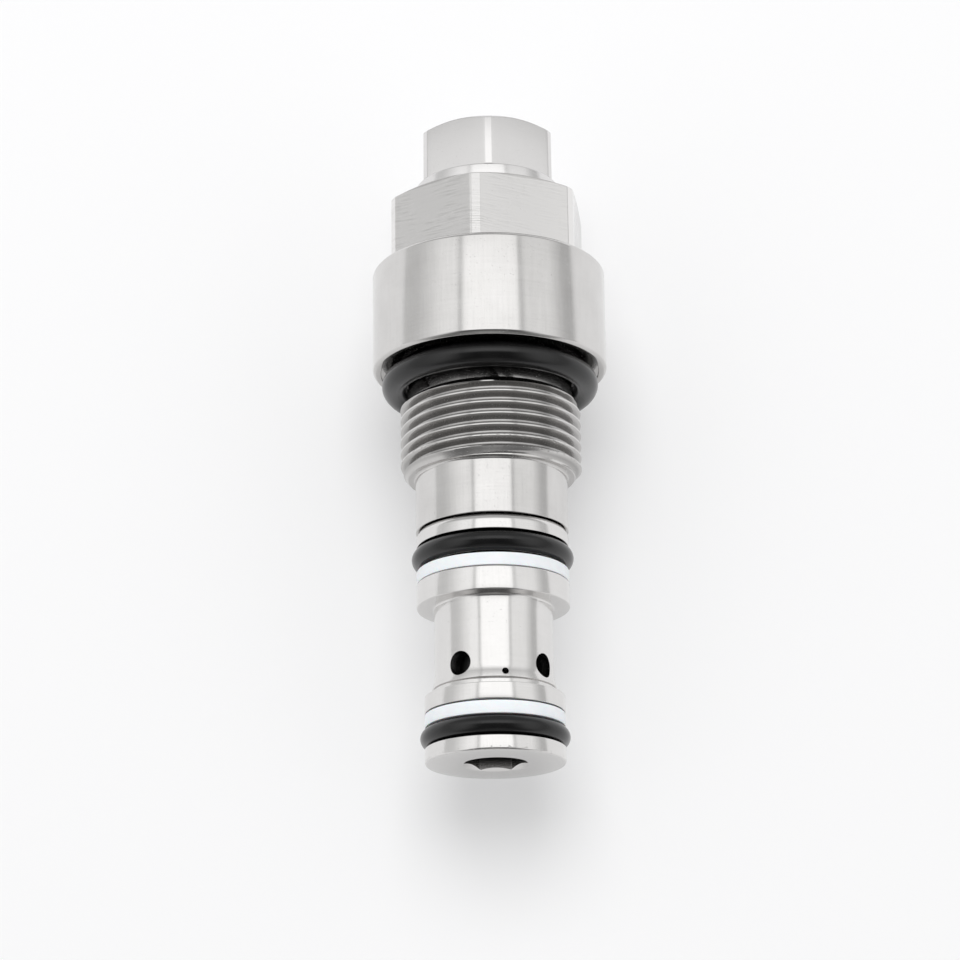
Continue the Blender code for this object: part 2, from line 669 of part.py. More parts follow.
def build_lock_nut(axis):
    """The seal washer with its O-ring, and the nut that locks the adjusting screw."""
    lifting = empty("nut_lift", axis)
    recess_r = SCREW_BORE_D / 2 + WASHER_SEAL + 2 * SEAL_FIT
    washer_top = WASHER_Z + WASHER
    washer = [
        (recess_r, WASHER_Z),
        (WASHER_D / 2 - WASHER_EDGE, WASHER_Z),
        (WASHER_D / 2, WASHER_Z + WASHER_EDGE),
        (WASHER_D / 2, washer_top - WASHER_EDGE),
        (WASHER_D / 2 - WASHER_EDGE, washer_top),
        (SCREW_BORE_D / 2, washer_top),
        (SCREW_BORE_D / 2, WASHER_Z + WASHER_RECESS),
        (recess_r, WASHER_Z + WASHER_RECESS),
    ]
    solid("seal_washer", turned_mesh("seal_washer", washer), "machined_steel", lifting)
    seal_z = WASHER_Z + WASHER_RECESS - SEAL_FIT - WASHER_SEAL / 2
    o_ring("washer_o_ring", SCREW_BORE_D, seal_z, WASHER_SEAL, lifting, INNER_SIDES)

    turning = empty("nut_turn", lifting)
    chamfer = (NUT_TURNED_D - NUT_FACE_D) / 2 * NUT_SLOPE
    nut = [
        (SCREW_BORE_D / 2, NUT_Z),
        (NUT_FACE_D / 2, NUT_Z),
        (NUT_FACE_D / 2, NUT_Z + NUT_FOOT),
        (NUT_TURNED_D / 2, NUT_Z + NUT_FOOT),
        (NUT_TURNED_D / 2, NUT_TOP - chamfer),
        (NUT_FACE_D / 2, NUT_TOP),
        (SCREW_BORE_D / 2, NUT_TOP),
    ]
    nut = solid("lock_nut", turned_mesh("lock_nut", nut), "machined_steel", turning)
    reach = NUT_TURNED_D / 2
    cut(nut, flats_cutter("nut_flats", NUT_AF, NUT_ANGLE, reach, NUT_Z - FIT / 2, NUT_TOP + FIT, turning))


clear_scene()
valve_axis = lay_down()
build_sleeve(valve_axis)
build_outer_seals(valve_axis)
build_housing(valve_axis)
build_main_stage(valve_axis)
build_pilot_stage(valve_axis)
build_adjuster(valve_axis)
build_lock_nut(valve_axis)
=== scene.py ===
"""Looks of a screw-in cartridge relief valve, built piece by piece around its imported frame."""

import math

import bmesh
import bpy
from mathutils import Matrix, Vector


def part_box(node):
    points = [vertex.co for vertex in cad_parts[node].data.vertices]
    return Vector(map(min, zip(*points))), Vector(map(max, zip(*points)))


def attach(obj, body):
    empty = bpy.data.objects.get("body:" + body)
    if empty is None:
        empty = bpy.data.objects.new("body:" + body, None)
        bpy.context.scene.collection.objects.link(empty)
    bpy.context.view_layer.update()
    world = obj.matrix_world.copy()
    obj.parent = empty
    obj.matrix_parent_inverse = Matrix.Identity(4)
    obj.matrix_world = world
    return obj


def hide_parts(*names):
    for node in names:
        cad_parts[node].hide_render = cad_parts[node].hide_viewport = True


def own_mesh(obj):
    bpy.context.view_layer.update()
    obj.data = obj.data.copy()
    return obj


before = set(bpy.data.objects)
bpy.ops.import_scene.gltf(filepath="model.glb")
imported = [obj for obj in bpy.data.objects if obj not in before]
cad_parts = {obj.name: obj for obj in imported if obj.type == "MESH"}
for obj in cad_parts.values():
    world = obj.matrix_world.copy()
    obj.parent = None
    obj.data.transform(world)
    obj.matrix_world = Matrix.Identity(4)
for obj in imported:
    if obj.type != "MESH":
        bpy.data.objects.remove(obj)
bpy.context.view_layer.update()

scene = bpy.context.scene

# ---------------------------------------------------------------------------------------------
# Table and light. The valve lies on a seamless white sheet inside a light tent: a bright panel
# straight above, paler cloth walls at its sides, narrow gaps between them that turned metal shows
# as thin dark lines, and an open end beyond the nose. A soft box behind the nut throws the faint
# shadow under the nose, and the sheet is lit a little from below too.
MM = 0.001
FAR_END_GREY = 0.30
OPENING_GREY = 0.04
BACKDROP_GREY = 0.55
TENT_STRENGTH = 1.72
LENS_MM = 105.3
AXIS_Z = sum(corner[2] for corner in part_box("housing")) / 2
NOSE_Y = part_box("sleeve")[0][1]


def node(tree, kind, settings=None, inputs=None, output=0):
    """Add a node with its settings, then its inputs by name or number, and give back one output."""
    made = tree.nodes.new(kind)
    for key, value in (settings or {}).items():
        if key == "stops":
            place_stops(made.color_ramp, value)
        else:
            setattr(made, key, value)
    for key, value in (inputs or {}).items():
        socket = made.inputs[key]
        if isinstance(value, Wire):
            tree.links.new(value.socket, socket)
        else:
            socket.default_value = value
    return Wire(tree, made.outputs[output]) if made.outputs else None


def place_stops(ramp, stops):
    """Set a colour ramp's stops from (position, grey or colour) pairs."""
    while len(ramp.elements) < len(stops):
        ramp.elements.new(0.5)
    for element, (position, value) in zip(ramp.elements, stops):
        element.position = position
        colour = value if isinstance(value, tuple) else (value,) * 3
        element.color = (*colour, 1)


class Wire:
    """A node's output that takes part in sums: each operator adds one Math node."""

    def __init__(self, tree, socket):
        self.tree = tree
        self.socket = socket

    def math(self, operation, *values):
        return node(self.tree, "ShaderNodeMath", {"operation": operation}, dict(enumerate(values)))

    def __add__(self, other):
        return self.math("ADD", self, other)

    def __sub__(self, other):
        return self.math("SUBTRACT", self, other)

    def __rsub__(self, other):
        return self.math("SUBTRACT", other, self)

    def __mul__(self, other):
        return self.math("MULTIPLY", self, other)

    def __truediv__(self, other):
        return self.math("DIVIDE", self, other)

    def __pow__(self, other):
        return self.math("POWER", self, other)

    def __abs__(self):
        return self.math("ABSOLUTE", self)

    __radd__ = __add__
    __rmul__ = __mul__


def fade(value, low, high):
    """0 below low and 1 above high, with a smooth change between."""
    limits = {"Value": value, "From Min": low, "From Max": high}
    return node(value.tree, "ShaderNodeMapRange", {"interpolation_type": "SMOOTHSTEP"}, limits)


def light_tent():
    """The world: cloth panels by their angle from straight up, to the left (-) or the right (+)."""
    world = bpy.data.worlds.new("light_tent")
    world.use_nodes = True
    tree = world.node_tree
    tree.nodes.clear()
    direction = node(tree, "ShaderNodeTexCoord")
    parts = node(tree, "ShaderNodeSeparateXYZ", inputs={0: direction})
    across = parts
    along = Wire(tree, parts.socket.node.outputs[1])
    up = Wire(tree, parts.socket.node.outputs[2])
    angle = across.math("ARCTAN2", across, up) / math.tau + 0.5
    panels = (
        (-180, 0.46), (-104, 0.48), (-92, 0.40), (-74, 0.41), (-58, 0.54), (-46, 0.64), (-31, 0.66),
        (-29, 0.36), (-27, 0.36), (-24.5, 0.78), (28, 0.78), (30, 0.36), (32, 0.36), (35, 0.58),
        (62, 0.57), (80, 0.34), (98, 0.35), (112, 0.46), (180, 0.46),
    )
    stops = [(degrees / 360 + 0.5, brightness) for degrees, brightness in panels]
    cloth = node(tree, "ShaderNodeValToRGB", {"stops": stops}, {0: angle})
    far_end = fade(along, 0.42, 0.75)
    mixed = node(tree, "ShaderNodeMix", inputs={0: far_end, 2: cloth, 3: FAR_END_GREY})
    towards = along * -1
    opening = fade(towards, -0.12, 0.08) * (1.0 - fade(towards, 0.8, 0.98) * 0.25)
    opening = opening * (1.0 - fade(abs(across), 0.35, 0.8)) * 0.95
    mixed = node(tree, "ShaderNodeMix", inputs={0: opening, 2: mixed, 3: OPENING_GREY})
    seen = node(tree, "ShaderNodeLightPath")
    plain = node(tree, "ShaderNodeMix", inputs={0: seen, 2: mixed, 3: BACKDROP_GREY})
    light = node(tree, "ShaderNodeBackground", inputs={"Color": plain, "Strength": TENT_STRENGTH})
    node(tree, "ShaderNodeOutputWorld", inputs={"Surface": light})
    scene.world = world


def soft_light(name, place, size, power):
    """A large square soft box that faces the valve and is too matt to show in the metal."""
    lamp = bpy.data.lights.new(name, "AREA")
    lamp.size = size
    lamp.energy = power
    box = bpy.data.objects.new(name, lamp)
    box.location = place
    box.rotation_euler = (Vector((0, 0, AXIS_Z)) - Vector(place)).to_track_quat("-Z", "Y").to_euler()
    box.visible_glossy = False
    scene.collection.objects.link(box)


def white_sheet():
    """The floor under the valve."""
    mesh = bpy.data.meshes.new("white_sheet")
    bm = bmesh.new()
    bmesh.ops.create_grid(bm, x_segments=8, y_segments=8, size=3.0)
    bm.to_mesh(mesh)
    bm.free()
    sheet = bpy.data.objects.new("white_sheet", mesh)
    scene.collection.objects.link(sheet)
    paper = bpy.data.materials.new("white_sheet")
    paper.use_nodes = True
    surface = paper.node_tree.nodes["Principled BSDF"]
    surface.inputs["Base Color"].default_value = (0.62, 0.62, 0.625, 1)
    surface.inputs["Emission Color"].default_value = (1.0, 1.0, 1.0, 1)
    surface.inputs["Emission Strength"].default_value = 0.32
    surface.inputs["Roughness"].default_value = 0.8
    surface.inputs["Specular IOR Level"].default_value = 0.2
    mesh.materials.append(paper)


def camera_over_nose():
    """A long lens above the nose end, tipped towards the lock nut and rolled by under a degree."""
    lens = bpy.data.cameras.new("camera")
    lens.lens = LENS_MM
    lens.clip_start = 0.01
    lens.clip_end = 20
    tip = math.radians(17.94)
    roll = math.radians(0.81)
    right = Vector((1, 0, 0))
    up = Vector((0, math.cos(tip), math.sin(tip)))
    turned_up = up * math.cos(roll) + right * math.sin(roll)
    turned_right = right * math.cos(roll) - up * math.sin(roll)
    back = turned_right.cross(turned_up)
    camera = bpy.data.objects.new("camera", lens)
    rotation = Matrix((turned_right, turned_up, back)).transposed().to_4x4()
    place = Vector((-2.1 * MM, NOSE_Y - 105.3 * MM, AXIS_Z + 489.1 * MM))
    camera.matrix_world = Matrix.Translation(place) @ rotation
    scene.collection.objects.link(camera)
    scene.camera = camera


scene.view_settings.view_transform = "Standard"
light_tent()
white_sheet()
soft_light("soft_box", (-0.05, 0.5, 1.15), 0.8, 7.6)
camera_over_nose()


# ---------------------------------------------------------------------------------------------
# Housing. One bar of free-cutting steel, turned, threaded and then milled to a 34 mm hexagon. It
# screws into the cavity until the collar meets the manifold, and carries the pilot stage inside.
HEX_FLAT = 17.0
HEX_CORNER = 19.15
HEX_TURN = -6.9
HEX_TOP = 106.9
HEX_FACE = 16.5
HEX_SLOPE = math.tan(math.radians(20))
WELD = 0.0008 * MM
SHARP_EDGE = 34
# Near black that recessed steel is mixed towards as painted shade.
PAINTED_SHADE_BLACK = (0.012, 0.011, 0.010, 1)
THREAD_PITCH = 25.4 / 12


def corner_arc(before, corner, after, set_back):
    """Four points that round one corner of an outline."""
    start = corner.lerp(before, min(set_back / max((before - corner).length, 1e-6), 0.45))
    end = corner.lerp(after, min(set_back / max((after - corner).length, 1e-6), 0.45))
    steps = (0, 1 / 3, 2 / 3, 1)
    return [start.lerp(corner, t).lerp(corner.lerp(end, t), t) for t in steps]


def soften(outline, set_back, closed=True):
    """Round the corners of a (radius, station) outline in mm. A third number is a corner's own set-back."""
    points = [Vector(corner[:2]) for corner in outline]
    rounded = []
    for i, corner in enumerate(outline):
        if not closed and i in (0, len(outline) - 1):
            rounded.append(points[i])
            continue
        own = corner[2] if len(corner) > 2 else set_back
        rounded += corner_arc(points[i - 1], points[i], points[(i + 1) % len(points)], own)
    return rounded


def on_axis(radius, degrees, station):
    """A point in metres from a radius, an angle from straight up and a distance from the nose, in mm."""
    angle = math.radians(degrees)
    across, up = radius * MM * math.sin(angle), radius * MM * math.cos(angle)
    return Vector((across, NOSE_Y + station * MM, AXIS_Z + up))


def even_angles(count):
    return [360 * i / count for i in range(count)]


def join_rings(bm, lower, upper):
    """Quads between two rings of vertices, or triangles to a pole."""
    count = max(len(lower), len(upper))
    for i in range(count):
        after = (i + 1) % count
        corners = [lower[i % len(lower)], lower[after % len(lower)]]
        corners += [upper[after % len(upper)], upper[i % len(upper)]]
        distinct = list(dict.fromkeys(corners))
        if len(distinct) > 2:
            bm.faces.new(distinct)


def turn(bm, outline, angles, set_back=0.12, closed=True, even_below=-1):
    """Turn an outline about the axis. An outline that changes with the angle is a function of it."""
    shape = outline if callable(outline) else lambda angle: outline
    columns = [soften(shape(angle), set_back, closed) for angle in angles]
    even = even_angles(len(angles))
    rings = []
    for row in range(len(columns[0])):
        if all(column[row][0] < 1e-6 for column in columns):
            rings.append([bm.verts.new(on_axis(0, 0, columns[0][row][1]))])
            continue
        ring = []
        for column, angle, plain in zip(columns, angles, even):
            radius, station = column[row]
            ring.append(bm.verts.new(on_axis(radius, plain if station < even_below else angle, station)))
        rings.append(ring)
    for lower, upper in zip(rings, rings[1:]):
        join_rings(bm, lower, upper)
    if closed:
        join_rings(bm, rings[-1], rings[0])


def piece_from(name, bm, material, sharp=SHARP_EDGE):
    """Close a bmesh off as a piece: doubles merged, faces outwards, smooth except over real edges."""
    bmesh.ops.remove_doubles(bm, verts=bm.verts, dist=WELD)
    bmesh.ops.dissolve_degenerate(bm, edges=bm.edges, dist=WELD)
    bmesh.ops.recalc_face_normals(bm, faces=bm.faces)
    mesh = bpy.data.meshes.new(name)
    bm.to_mesh(mesh)
    bm.free()
    mesh.shade_smooth()
    mesh.set_sharp_from_angle(angle=math.radians(sharp))
    mesh.materials.append(material)
    piece = bpy.data.objects.new(name, mesh)
    scene.collection.objects.link(piece)
    return piece


def turned_piece(name, outline, angles, material, set_back=0.12, closed=True):
    bm = bmesh.new()
    turn(bm, outline, angles, set_back, closed)
    return piece_from(name, bm, material)


def stands_for(piece, node_name, body):
    """The piece replaces its CAD node and moves with its body."""
    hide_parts(node_name)
    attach(piece, body)


def from_flat(angle, first_corner):
    """Degrees from the middle of the nearest of a hexagon's six flats."""
    return (angle - first_corner) % 60 - 30


def milled_radius(angle, first_corner, flat, corner):
    """Radius of a turned bar with six milled flats, its edges eased where flat meets bar."""
    plane = flat / math.cos(math.radians(from_flat(angle, first_corner)))
    return (plane + corner - math.hypot(plane - corner, 0.06)) / 2


def milled_angles(first_corner, flat, corner, between=27):
    """Column angles that crowd at the edges of the narrow strips between the flats."""
    half = 30 - math.degrees(math.acos(flat / corner))
    near = [half + step for step in (-1.1, -0.4, 0, 0.4, 1.0)]
    last = near[-1]
    gaps = [last + (60 - 2 * last) * i / between for i in range(1, between)]
    strip = sorted([-step for step in near] + [0] + near + gaps)
    return [first_corner + 60 * side + step for side in range(6) for step in strip]


def nodes_for(name, sizes):
    """A geometry tree with a geometry input and a named number for each size."""
    tree = bpy.data.node_groups.new(name, "GeometryNodeTree")
    tree.interface.new_socket("Geometry", in_out="INPUT", socket_type="NodeSocketGeometry")
    for label, value in sizes.items():
        kind = "NodeSocketInt" if isinstance(value, int) else "NodeSocketFloat"
        tree.interface.new_socket(label, in_out="INPUT", socket_type=kind)
    tree.interface.new_socket("Geometry", in_out="OUTPUT", socket_type="NodeSocketGeometry")
    entry = tree.nodes.new("NodeGroupInput")
    return tree, {socket.name: Wire(tree, socket) for socket in entry.outputs if socket.name}


def close_tree(tree, geometry, material):
    """End a tree in real geometry with its material."""
    real = node(tree, "GeometryNodeRealizeInstances", inputs={0: geometry})
    painted = node(tree, "GeometryNodeSetMaterial", inputs={"Geometry": real, "Material": material})
    node(tree, "NodeGroupOutput", inputs={0: painted})


def grown_mesh(name, tree, sizes, start=None):
    """Run a geometry tree on a mesh with its sizes set, and give back the plain mesh."""
    base = bpy.data.objects.new(name, start or bpy.data.meshes.new(name))
    scene.collection.objects.link(base)
    modifier = base.modifiers.new(name, "NODES")
    modifier.node_group = tree
    for item in tree.interface.items_tree:
        if item.in_out == "INPUT" and item.name in sizes:
            modifier[item.identifier] = sizes[item.name]
    bpy.context.view_layer.update()
    graph = bpy.context.evaluated_depsgraph_get()
    mesh = bpy.data.meshes.new_from_object(base.evaluated_get(graph), depsgraph=graph)
    base.modifiers.remove(modifier)
    bpy.data.objects.remove(base)
    return mesh


THREAD_SIZES = {
    "Columns": 228, "Rows per pitch": 14, "Rows": 120, "Pitch": THREAD_PITCH * MM,
    "Root": 15.2 * MM, "Crest": 16.6 * MM, "Low": 0.0, "High": 1.0,
}


def thread_tree():
    """A grid wound round the axis: each row climbs one pitch a turn, and 45-degree cones end the crests."""
    tree, size = nodes_for("cut_thread", THREAD_SIZES)
    columns, per_pitch = size["Columns"], size["Rows per pitch"]
    low, high, root = size["Low"], size["High"], size["Root"]
    grid = node(tree, "GeometryNodeMeshGrid", inputs={2: columns + 1, 3: size["Rows"] + 1})
    index = node(tree, "GeometryNodeInputIndex")
    count = size["Rows"] + 1
    column = (index / count).math("FLOOR", (index + 0.5) / count)
    row = index - column * count
    around = column / columns
    turns = row / per_pitch
    share = turns - turns.math("FLOOR", turns + 0.001)
    station = low + (turns - 1 + around) * size["Pitch"]
    station = station.math("MINIMUM", station.math("MAXIMUM", station, low), high)
    from_crest = abs(share - 0.5) * 2
    height = fade(from_crest * -1, -0.9, -0.08)
    flank = {"Value": from_crest, "From Min": 0.86, "From Max": 0.12}
    sharp = node(tree, "ShaderNodeMapRange", inputs=flank)
    height = height * 0.15 + sharp * 0.85
    radius = root + (size["Crest"] - root) * height
    radius = radius.math("MINIMUM", radius, root + (station - low))
    radius = radius.math("MINIMUM", radius, root + (high - station))
    angle = around * math.tau
    place = node(tree, "ShaderNodeCombineXYZ", inputs={
        0: radius * angle.math("SINE", angle),
        1: station + NOSE_Y,
        2: radius * angle.math("COSINE", angle) + AXIS_Z,
    })
    wound = node(tree, "GeometryNodeSetPosition", inputs={"Geometry": grid, "Position": place})
    welded = node(tree, "GeometryNodeMergeByDistance", inputs={"Geometry": wound, "Distance": 0.0005 * MM})
    close_tree(tree, welded, None)
    return tree


def add_thread(bm, tree, low, high, root, crest, pitch, columns):
    """Wind a thread between two stations in mm and add it to a turned piece."""
    rows = THREAD_SIZES["Rows per pitch"] * (math.ceil((high - low) / pitch) + 2)
    sizes = {
        "Columns": columns, "Rows per pitch": THREAD_SIZES["Rows per pitch"], "Rows": rows,
        "Pitch": pitch * MM, "Root": root * MM, "Crest": crest * MM, "Low": low * MM, "High": high * MM,
    }
    bm.from_mesh(grown_mesh("thread", tree, sizes))


def tint(tree, share, low, high):
    """A colour between two, by a share from 0 to 1."""
    colours = {0: share, 6: (*low, 1), 7: (*high, 1)}
    return node(tree, "ShaderNodeMix", {"data_type": "RGBA"}, colours, output=2)


def noise(tree, vector, scale, detail=2.0, roughness=0.5):
    sizes = {"Vector": vector, "Scale": scale, "Detail": detail, "Roughness": roughness}
    return node(tree, "ShaderNodeTexNoise", inputs=sizes)


def own_millimetres(tree):
    """Object coordinates in mm from the middle of the nose face."""
    coordinates = node(tree, "ShaderNodeTexCoord", output=3)
    centre = {"Location": (0, -NOSE_Y / MM, -AXIS_Z / MM), "Scale": (1 / MM,) * 3, "Vector": coordinates}
    return node(tree, "ShaderNodeMapping", inputs=centre)


def axes(tree, vector):
    parts = node(tree, "ShaderNodeSeparateXYZ", inputs={0: vector})
    return [Wire(tree, socket) for socket in parts.socket.node.outputs]


def turned_steel(name, dark, light, roughness=0.2, marks=1.0, milled=None, shade_zone=None, shade_depth=0.0, nicked=None):
    """Bright steel with the fine rings that a lathe leaves.

    A zone is a pair of stations, a pair of radii and how softly it ends, all in mm. A milled zone has the
    streaks of a cutter, the shade zone gets painted shade, darkened towards near black by its given depth,
    and a nicked one has small dents."""
    material = bpy.data.materials.new(name)
    material.use_nodes = True
    tree = material.node_tree
    surface = tree.nodes["Principled BSDF"]
    place = own_millimetres(tree)
    x, y, z = axes(tree, place)
    radius = (x * x + z * z + 0.01) ** 0.5
    normal = node(tree, "ShaderNodeTexCoord", output=1)
    end_on = fade(abs(axes(tree, normal)[1]), 0.5, 0.85)
    step = node(tree, "ShaderNodeMix", inputs={0: end_on, 2: y, 3: radius})
    unit_x, unit_z = x / radius, z / radius

    def rings(around, along, detail=2.0):
        vector = node(tree, "ShaderNodeCombineXYZ", inputs={
            0: unit_x * around, 1: step * along, 2: unit_z * around})
        return noise(tree, vector, 1.0, detail)

    def zone(low, high, inner, outer, ease):
        along = fade(y, low - ease, low) * (1.0 - fade(y, high, high + ease))
        return along * fade(radius, inner - ease, inner) * (1.0 - fade(radius, outer, outer + ease))

    fine = rings(1.2, 16.0, 3.0)
    coarse = rings(2.2, 3.2, 2.0)
    chatter = rings(55.0, 0.12, 1.0)
    cloud = noise(tree, place, 0.16, 2.0)
    scratch = fade(noise(tree, node(tree, "ShaderNodeCombineXYZ", inputs={
        0: x * 0.35 + y * 0.9, 1: y * 4.5, 2: z * 0.35 - y * 0.4}), 1.0, 1.0), 0.70, 0.76)
    pits = fade(noise(tree, place, 5.5, 0.0), 0.79, 0.83)
    share = 0.5 + (fine - 0.5) * (0.36 * marks) + (coarse - 0.5) * (0.20 * marks)
    # Faces that look along the axis, such as the nose face, are made darker by half a step: painted shade.
    share = share + (chatter - 0.5) * (0.26 * marks) + (cloud - 0.5) * 0.35 - end_on * 0.5 - pits * 0.4
    gloss = roughness + (fine - 0.5) * (0.08 * marks) + (cloud - 0.5) * 0.06 + scratch * 0.06 + pits * 0.15
    height = fine * (0.30 * marks) + coarse * (0.22 * marks) + chatter * (0.16 * marks)
    height = height - scratch * 0.5 - pits * 2.5
    if milled:
        streaks = fade(noise(tree, node(tree, "ShaderNodeCombineXYZ", inputs={
            0: unit_x * 3.4, 1: y * 2.5 + x * 0.2, 2: unit_z * 3.4}), 1.0, 3.0, 0.62), 0.36, 0.64)
        patches = 0.35 + fade(noise(tree, place, 0.22, 1.0), 0.40, 0.62)
        cut = (streaks - 0.5) * patches * zone(*milled) * (1.0 - fade(x, -4.0, 2.0) * 0.6)
        share = share + cut * 0.45 + zone(*milled) * 0.55
        gloss = gloss + cut * 0.10
        height = height + cut * 1.6
    if nicked:
        dents = fade(noise(tree, place, 1.9, 2.0), 0.60, 0.66) * zone(*nicked)
        share = share - dents * 0.8
        height = height - dents * 9.0
    colour = tint(tree, share, dark, light)
    # The shade zone is mixed towards near black and made a little rougher: painted shade in recesses.
    if shade_zone:
        painted_shade = zone(*shade_zone) * shade_depth
        black = {0: painted_shade, 6: colour, 7: PAINTED_SHADE_BLACK}
        colour = node(tree, "ShaderNodeMix", {"data_type": "RGBA"}, black, output=2)
        gloss = gloss + painted_shade * 0.2
    tree.links.new(colour.socket, surface.inputs["Base Color"])
    tree.links.new(gloss.socket, surface.inputs["Roughness"])
    bump = node(tree, "ShaderNodeBump", inputs={"Strength": 1.0, "Distance": 0.0035 * MM, "Height": height})
    tree.links.new(bump.socket, surface.inputs["Normal"])
    surface.inputs["Metallic"].default_value = 1.0
    return material


# The thread roots and flanks, the relief groove and the bore get painted shade, darkened towards near
# black.
housing_steel = turned_steel(
    "machined_steel", (0.50, 0.49, 0.48), (0.81, 0.80, 0.79), 0.14, marks=0.65,
    milled=(93.5, 106.1, 0, 30, 0.2), shade_zone=(54.0, 73.2, 0, 15.75, 0.7), shade_depth=0.36,
    nicked=(53.0, 56.5, 16.35, 17, 0.1),
)


def housing_outline(angle):
    """From the top of the thread over collar and hexagon, and down the bore to the thread's foot."""
    reach = milled_radius(angle, HEX_TURN, HEX_FLAT, HEX_CORNER)
    return [
        (15.2, 67.7), (15.2, 73.9, 0.3), (20.2, 73.9), (20.2, 73.6, 0.05), (21.1, 73.6, 0.1),
        (21.65, 74.15, 0.2), (21.65, 92.7, 0.25), (21.15, 93.2, 0.2), (reach, 93.2, 0.12),
        (reach, HEX_TOP - (reach - HEX_FACE) * HEX_SLOPE, 0.16), (HEX_FACE, HEX_TOP, 0.3),
        (9.0, HEX_TOP, 0.1), (8.2, HEX_TOP - 0.8, 0.1), (8.2, 98.12), (8.7, 98.12), (8.7, 66.3),
        (11.3, 66.3), (11.3, 43.1, 0.1), (11.7, 42.7, 0.1), (13.8, 42.7, 0.05), (13.9, 42.8, 0.05),
        (13.9, 52.7, 0.1), (14.2, 53.0, 0.1), (15.2, 53.0),
    ]


thread = thread_tree()
housing_angles = milled_angles(HEX_TURN, HEX_FLAT, HEX_CORNER)
bm = bmesh.new()
turn(bm, housing_outline, housing_angles, closed=False, even_below=73.0)
add_thread(bm, thread, 53.0, 67.7, 15.2, 16.6, THREAD_PITCH, len(housing_angles))
housing = piece_from("fine_housing", bm, housing_steel)
stands_for(housing, "housing", "valve_body")

# ---------------------------------------------------------------------------------------------
# Sleeve. Turned steel that screws into the housing. Its lands carry the two outer seals, its
# waist has four drilled side ports and one drain hole, and its nose is the inlet and key socket.
# The bore, the key socket deeper than its mouth and the drilled hole walls get painted shade; the groove
# floors get some of it.
sleeve_steel = turned_steel(
    "sleeve_steel", (0.62, 0.61, 0.60), (0.84, 0.83, 0.82), 0.14, marks=0.85,
    shade_zone=(2.2, 60.0, 0, 8.7, 1.9), shade_depth=0.93, nicked=(-0.5, 0.55, 12.15, 13, 0.1),
)
PORT_SIZES = {
    "Count": 4, "First angle": 0.0, "Step": math.pi / 2, "Radius": 2.2 * MM, "Station": 0.0,
    "Depth": 8.0 * MM, "Reach": 11.0 * MM,
}


def sleeve_outline(angle):
    """From the mouth of the nose socket up the bore, over the spigot and down the lands and grooves."""
    plane = 5.0 / math.cos(math.radians(from_flat(angle, 30)))
    wall = (plane + 5.72 - math.hypot(plane - 5.72, 0.05)) / 2
    return [
        (5.95, 0, 0.1), (wall, (5.95 - wall) * 0.6, 0.08), (wall, 7.5, 0.1), (4.5, 7.5, 0.1),
        (4.5, 9.5, 0.05), (7.8, 12.8), (7.8, 55.2), (8.3, 55.7), (10.7, 55.7), (11.0, 55.4),
        (11.0, 49.4), (9.3, 49.4), (9.3, 47.4), (11.0, 47.4), (11.0, 42.4), (13.45, 42.4, 0.1),
        (13.85, 41.6, 0.3), (13.85, 39.7, 0.12), (10.9, 39.7, 0.25), (10.9, 32.8, 0.25),
        (13.85, 32.8, 0.14), (13.85, 31.0, 0.3), (13.85, 28.5, 0.22), (10.7, 28.5, 0.4),
        (10.7, 24.0, 2), (10.7, 20.0, 2), (10.7, 17.0, 0.5), (10.7, 15.3, 0.7), (11.2, 13.4, 0.12),
        (10.85, 13.2, 0.1), (10.85, 12.15, 0.1), (11.5, 12.1, 0.04), (12.6, 12.1, 0.1),
        (12.6, 9.1, 0.14), (9.7, 9.1, 0.25), (9.7, 2.7, 0.25), (12.6, 2.7, 0.14),
        (12.6, 0.26, 0.1), (12.34, 0, 0.1),
    ]


def drill_tree(material):
    """Round drills set out round the axis, cut from the piece that comes in."""
    tree, size = nodes_for("drilled_holes", PORT_SIZES)
    depth = size["Depth"]
    bar = node(tree, "GeometryNodeMeshCylinder", {"fill_type": "NGON"}, {
        "Vertices": 56, "Radius": size["Radius"], "Depth": depth})
    out = node(tree, "ShaderNodeCombineXYZ", inputs={2: size["Reach"]})
    bar = node(tree, "GeometryNodeTransform", inputs={"Geometry": bar, "Translation": out})
    centre = node(tree, "ShaderNodeCombineXYZ", inputs={1: size["Station"] + NOSE_Y, 2: AXIS_Z})
    spots = node(tree, "GeometryNodeMeshLine", inputs={
        "Count": size["Count"], "Start Location": centre, "Offset": (0, 0, 0)})
    index = node(tree, "GeometryNodeInputIndex")
    swing = node(tree, "ShaderNodeCombineXYZ", inputs={1: size["First angle"] + index * size["Step"]})
    facing = node(tree, "FunctionNodeEulerToRotation", inputs={0: swing})
    drills = node(tree, "GeometryNodeInstanceOnPoints", inputs={
        "Points": spots, "Instance": bar, "Rotation": facing})
    drills = node(tree, "GeometryNodeRealizeInstances", inputs={0: drills})
    cut = node(tree, "GeometryNodeMeshBoolean", {"operation": "DIFFERENCE", "solver": "EXACT"}, {
        "Mesh 1": size["Geometry"], "Mesh 2": drills})
    close_tree(tree, cut, material)
    return tree


def drilled(piece, tree, **sizes):
    """Drill a piece and give it the plain mesh that is left."""
    mesh = grown_mesh(piece.name, tree, {**PORT_SIZES, **sizes}, piece.data)
    mesh.set_sharp_from_angle(angle=math.radians(SHARP_EDGE))
    piece.data = mesh


sleeve = turned_piece("fine_sleeve", sleeve_outline, even_angles(240), sleeve_steel)
drills = drill_tree(sleeve_steel)
port = {"First angle": math.radians(-35), "Station": 16.4 * MM}
drain = {"Count": 1, "First angle": math.radians(10), "Radius": 0.6 * MM, "Station": 14.4 * MM}
drilled(sleeve, drills, **port)
drilled(sleeve, drills, **drain)
stands_for(sleeve, "sleeve", "valve_body")

# ---------------------------------------------------------------------------------------------
# O-rings. Moulded nitrile rubber: three seal the valve in its cavity, and four smaller ones seal
# the sleeve, the pilot seat, the seal washer and the plunger. Each keeps a faint mould line.


